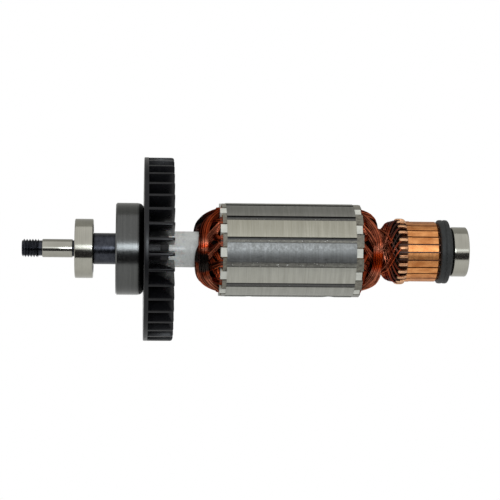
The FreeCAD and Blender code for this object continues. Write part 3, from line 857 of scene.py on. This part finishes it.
rearHead = {
    "side": 1, "lineSeed": 9, "wireSeed": 23,
    "coils": {3: (7.7, 2.8, 12.9, 2.2, 1.6, 1.3), 33: (8.2, 3.4, 10.8, 2.0, 2.2, 1.0),
              63: (7.2, 3.0, 10.0, 1.9, 3.0, 3.0), 93: (6.4, 3.0, 9.6, 1.9, 3.0, 3.0),
              123: (5.6, 3.0, 9.3, 1.8, 3.0, 3.5), 153: (5.0, 3.0, 9.1, 1.8, 3.0, 3.5)},
    "marks": {213: [(0.1, 0.6, 0.9), (0.6, 1.0, -0.5)], 183: [(0.3, 0.9, 1.0)],
              3: [(-1.0, -0.3, -0.35), (-0.10, 0.40, -1.55), (0.30, 1.0, -0.7)],
              33: [(-1.0, -0.6, -0.4), (0.0, 1.0, -0.7)], 63: [(-1.0, -0.6, -0.3)],
              93: [(-1.0, -0.6, -0.4)]}}
# How far a coil's lift varies in millimetres, how its wires roll along it and how it leans at its crown
coilLooks = {"liftSpread": 0.12, "rollAlong": 0.35, "lean": 0.55, "coreSegments": 72}
# The dark core under the wires, as (x, radius). Its near-black finish is painted shade deep inside the
# winding
armInner = sleeveRadius + 0.05 * mm
coreEnd = barsStart - 0.05 * mm
frontCore = [(frontArmStart, armInner), (frontArmStart - 8.6 * mm, armInner),
             (frontArmStart - 8.3 * mm, 9.2 * mm), (frontArmStart - 5.5 * mm, 11.6 * mm),
             (frontArmStart, 12.6 * mm), (frontArmStart, armInner)]
rearCore = [(rearArmEnd, armInner), (rearArmEnd, 12.8 * mm), (rearArmEnd + 5 * mm, 11.4 * mm),
            (rearArmEnd + 8.5 * mm, 9.3 * mm), (waist - 1.5 * mm, 8.9 * mm), (waist + 1.2 * mm, 11.8 * mm),
            (coreEnd, 12.6 * mm), (coreEnd, armInner), (rearArmEnd, armInner)]


# Each mark fades over a part of the length round both its ends
def markAt(marks, share, fadeLength=0.3):
    total = 0.0
    for first, last, mark in marks:
        inside = min(share - first, last - share)
        total += mark * min(1.0, max(0.0, 0.5 + inside / fadeLength))
    return total


def coilLine(start, side, middleAngle, numbers, marks, chance):
    size = sized(headSizes)
    lift, squareness, middleRadius, midWidth, fallFirst, fallLast = numbers
    lift += chance.uniform(-coilLooks["liftSpread"], coilLooks["liftSpread"])
    middleRadius *= mm
    places = []
    for step in range(size.samples):
        share = 2 * step / (size.samples - 1) - 1
        away = abs(share)
        fall = fallFirst if share < 0 else fallLast
        radius = middleRadius + (size.slotRadius - middleRadius) * away ** fall
        x = start + side * lift * mm * (1 - away ** squareness)
        places.append((around(x, radius, middleAngle + size.span * share), share))
    inside = Vector((-side * size.arm, 0, 0))
    places.insert(0, (places[0][0] + inside, -1.0))
    places.append((places[-1][0] + inside, 1.0))
    line = []
    startRoll = chance.uniform(0, 6)
    for index, (point, share) in enumerate(places):
        away = abs(share)
        before = places[max(index - 1, 0)][0]
        after = places[min(index + 1, len(places) - 1)][0]
        along = (after - before).normalized()
        lean = Vector((side * coilLooks["lean"] * (1 - away ** 2), 0, 0))
        out = Vector((0, point.y, point.z)).normalized() + lean
        out = (out - along * out.dot(along)).normalized()
        width = midWidth * mm + (size.slotWidth - midWidth * mm) * away ** 6
        depth = size.midDepth + (size.slotDepth - size.midDepth) * away ** 6
        roll = startRoll + coilLooks["rollAlong"] * index / len(places)
        mark = markAt(marks.get(middleAngle, []), share)
        line.append((point, along.cross(out).normalized() * width, out * depth, roll, mark))
    return line


def joinFinished(name, meshes):
    objects = [addObject(name + str(index), mesh) for index, mesh in enumerate(meshes)]
    with bpy.context.temp_override(active_object=objects[0], selected_editable_objects=objects):
        bpy.ops.object.join()
    joined = objects[0]
    joined.name = name
    joined.data.name = name
    joined.data.shade_smooth()
    return joined


def makeHead(name, node, start, head, profile):
    chance = random.Random(head["lineSeed"])
    lines = [coilLine(start, head["side"], angle + turned, numbers, head["marks"], chance)
             for angle, numbers in head["coils"].items() for turned in (0, 180)]
    wires = windWires(name + "Wires", lines, sized(headSizes), head["wireSeed"])
    core = turnedMesh(name + "Core", profile, coilLooks["coreSegments"])
    core.materials.append(finishes["dark"])
    place(joinFinished(name, [wires, core]), node)


makeHead("front_wire_head", "front_winding_head", frontArmStart, frontHead, frontCore)
makeHead("rear_wire_head", "rear_winding_head", rearArmEnd, rearHead, rearCore)


# Leads: two pairs of wires come to each hook, one from each side round the waist, over stations of
# (x, radius, turn from the hook). One of the two lies deeper and takes more painted shade, and both take
# painted shade toward the hooks
leadSizes = {"wires": 2, "sides": 6, "wireRadius": 0.29, "wander": 0.4, "wanderSize": 200,
             "halfWidth": 0.42, "halfDepth": 0.34, "deeper": 0.8, "apart": 1.4, "shadeFrom": 131.6,
             "shadeTo": 134.6, "brown": -0.75,
             "stations": [(128.6, 9.9, 118), (129.3, 9.7, 106), (129.9, 9.7, 95), (130.5, 9.8, 84),
                          (131.1, 10.1, 73), (131.7, 10.8, 62), (132.3, 11.7, 52), (132.9, 12.5, 43),
                          (133.6, 13.1, 34), (134.4, 13.5, 25), (135.2, 13.7, 17), (136.1, 13.8, 10),
                          (137.0, 13.85, 4.5), (138.0, 13.85, 1.2), (139.2, 13.85, 0)]}


def leadLine(hookAngle, direction, isUpper, roll, chance):
    size = leadSizes
    brown = size["brown"]
    last = size["stations"][-1][0]
    swing = direction * chance.uniform(0.85, 1.05)
    darkest = chance.uniform(0.2, 0.6) if isUpper else 0.9
    line = []
    for x, radius, angle in size["stations"]:
        deeper = 0.0 if isUpper else size["deeper"] * min(1, (last - x) / 3)
        turn = hookAngle + size["apart"] * direction + swing * angle
        point = around(x * mm, (radius - deeper) * mm, turn)
        out = Vector((0, point.y, point.z)).normalized() * size["halfDepth"] * mm
        # Painted shade: the mark climbs from brown at the waist toward the hooks, highest on the deeper wire
        paintedShade = (x - size["shadeFrom"]) / (size["shadeTo"] - size["shadeFrom"])
        mark = min(darkest, max(brown, paintedShade * (darkest - brown) + brown))
        line.append((point, Vector((size["halfWidth"] * mm, 0, 0)), out, roll, mark))
    return line


def makeLeads():
    chance = random.Random(5)
    lines = []
    for number in range(barSizes["count"]):
        hookAngle = barSizes["phase"] - 90 + 360 * number / barSizes["count"]
        upper = 1 if hookAngle % 180 > 90 else -1
        for direction in (upper, -upper):
            roll = number * 1.3 + direction
            lines.append(leadLine(hookAngle, direction, direction == upper, roll, chance))
    mesh = windWires("lead_wires", lines, sized(leadSizes), 31)
    place(pieceFrom("lead_wires", mesh, 80), "commutator_leads")


makeLeads()


# CAD nodes that keep their own shape take a finish by their material slots
nodeFinishes = {"flywheel_drum": "drum", "spacer_sleeve": "sleeve", "stack_insulating_tube": "sleeve",
                "front_end_insulator": "insulator", "rear_end_insulator": "insulator",
                "lamination_stack": "core", "slot_liners": "paper", "slot_wedges": "wedge",
                "slot_conductors": "packed", "commutator_core": "moulding"}
bearingFinishes = {"outer_ring": "bearing", "inner_ring": "bearing", "balls": "ball", "cage": "cage",
                   "front_seal": "rubber", "rear_seal": "rubber"}
for end in ("front", "rear"):
    nodeFinishes.update({f"{end}_bearing_{part}": finish for part, finish in bearingFinishes.items()})


def dressNode(piece, finish):
    for slot in piece.material_slots:
        slot.material = finish
    if not piece.material_slots:
        piece.data.materials.append(finish)


for node, finish in nodeFinishes.items():
    dressNode(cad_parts[node], finishes[finish])
print("CAD nodes dressed:", len(nodeFinishes))


# Camera: a little to the right of the front bearing and turned toward the middle, as for the photograph
cameraSizes = {"place": (0.0205, -0.760, 0.0), "yaw": 3.942, "roll": 0.54, "lens": 124.24}


def makeCamera():
    camera = bpy.data.cameras.new("camera")
    camera.lens = cameraSizes["lens"]
    camera.sensor_width = 36
    camera.clip_start = 0.01
    camera.clip_end = 20
    holder = addObject("camera", camera)
    holder.location = cameraSizes["place"]
    holder.rotation_euler = (math.radians(90), 0, math.radians(-cameraSizes["yaw"]))
    holder.rotation_euler.rotate_axis("Z", math.radians(cameraSizes["roll"]))
    bpy.context.scene.camera = holder


makeCamera()


# Stage: a pale floor well below and white beyond it. A soft box hangs high over the object, a strip and a
# small box above the lens. A dark card is below the line of sight and a grey one behind the object
stageSizes = {"middle": 0.075, "floorDrop": 0.25, "floorRadius": 0.9, "worldDiffuse": 0.63}
# Lamps and cards: centre, width, height, then watts or strength, and colour
lamps = {"softBoxAbove": ((0.0, -0.5, 1.1), 1.2, 0.8, 8.0, (1, 1, 1)),
         "stripAboveLens": ((0.075, -0.95, 0.132), 1.7, 0.165, 0.9, (0.86, 0.93, 1.0)),
         "boxAboveLens": ((0.10, -0.95, 0.085), 0.13, 0.22, 1.65, (0.86, 0.93, 1.0))}
cards = {"darkBelowLens": ((0.075, -0.38, -0.151), 2.4, 0.266, 1.0, (0.045, 0.043, 0.045)),
         "greyBehind": ((0.075, 0.66, 0.62), 3.0, 1.70, 1.0, (0.48, 0.48, 0.46))}


def makeCard(name, centre, width, height, strength, colour):
    centre = Vector(centre)
    across = Vector((1, 0, 0))
    up = across.cross(Vector((stageSizes["middle"], 0, 0)) - centre).normalized()
    corners = [centre + across * sx * width / 2 + up * sy * height / 2
               for sx, sy in ((-1, -1), (1, -1), (1, 1), (-1, 1))]
    mesh = bpy.data.meshes.new(name)
    mesh.from_pydata(corners, [], [(0, 1, 2, 3)])
    glow = bpy.data.materials.new(name)
    glow.use_nodes = True
    tree = glow.node_tree
    tree.nodes.clear()
    light = addNode(tree, "ShaderNodeEmission", {"Color": colour, "Strength": strength})
    addNode(tree, "ShaderNodeOutputMaterial", {"Surface": light.outputs[0]})
    mesh.materials.append(glow)
    card = addObject(name, mesh)
    for ray in ("camera", "diffuse", "shadow", "transmission"):
        setattr(card, "visible_" + ray, False)


# A lamp shines square at the shaft
def makeLamp(name, centre, width, height, watts, colour):
    lamp = bpy.data.lights.new(name, "AREA")
    lamp.color = colour
    lamp.shape = "RECTANGLE"
    lamp.size = width
    lamp.size_y = height
    lamp.energy = watts
    holder = addObject(name, lamp)
    holder.location = centre
    holder.rotation_euler = (Vector((centre[0], 0, 0)) - Vector(centre)).to_track_quat("-Z", "Y").to_euler()


# Camera, glossy and transmission rays see plain white, and diffuse light is softer
def makeWorld():
    world = bpy.data.worlds.new("world")
    bpy.context.scene.world = world
    world.use_nodes = True
    tree = world.node_tree
    tree.nodes.clear()
    path = addNode(tree, "ShaderNodeLightPath").outputs
    seen = mathNode(tree, "MAXIMUM", path["Is Camera Ray"], path["Is Transmission Ray"])
    white = mathNode(tree, "MAXIMUM", seen, path["Is Glossy Ray"])
    strength = mathNode(tree, "MAXIMUM", white, stageSizes["worldDiffuse"])
    back = addNode(tree, "ShaderNodeBackground", {"Color": (1, 1, 1), "Strength": strength})
    addNode(tree, "ShaderNodeOutputWorld", {"Surface": back.outputs[0]})


def makeFloor():
    form = bmesh.new()
    bmesh.ops.create_circle(form, cap_ends=True, segments=96, radius=stageSizes["floorRadius"])
    for vertex in form.verts:
        vertex.co = Vector((vertex.co.x + stageSizes["middle"], vertex.co.y, -stageSizes["floorDrop"]))
    mesh = meshFrom(form, "floor")
    paint, tree = startFinish("paleFloor", (0.86, 0.86, 0.85), 0.7)
    tone = fade(grain(tree, 120, 2.0), (0.84, 0.84, 0.83), (0.88, 0.88, 0.87))
    mesh.materials.append(painted(paint, {"Base Color": tone}))
    addObject("floor", mesh)


makeWorld()
makeFloor()
for name, values in lamps.items():
    makeLamp(name, *values)
for name, values in cards.items():
    makeCard(name, *values)
bpy.data.objects["softBoxAbove"].visible_glossy = False
bpy.context.scene.view_settings.view_transform = "Standard"
print("stage set")
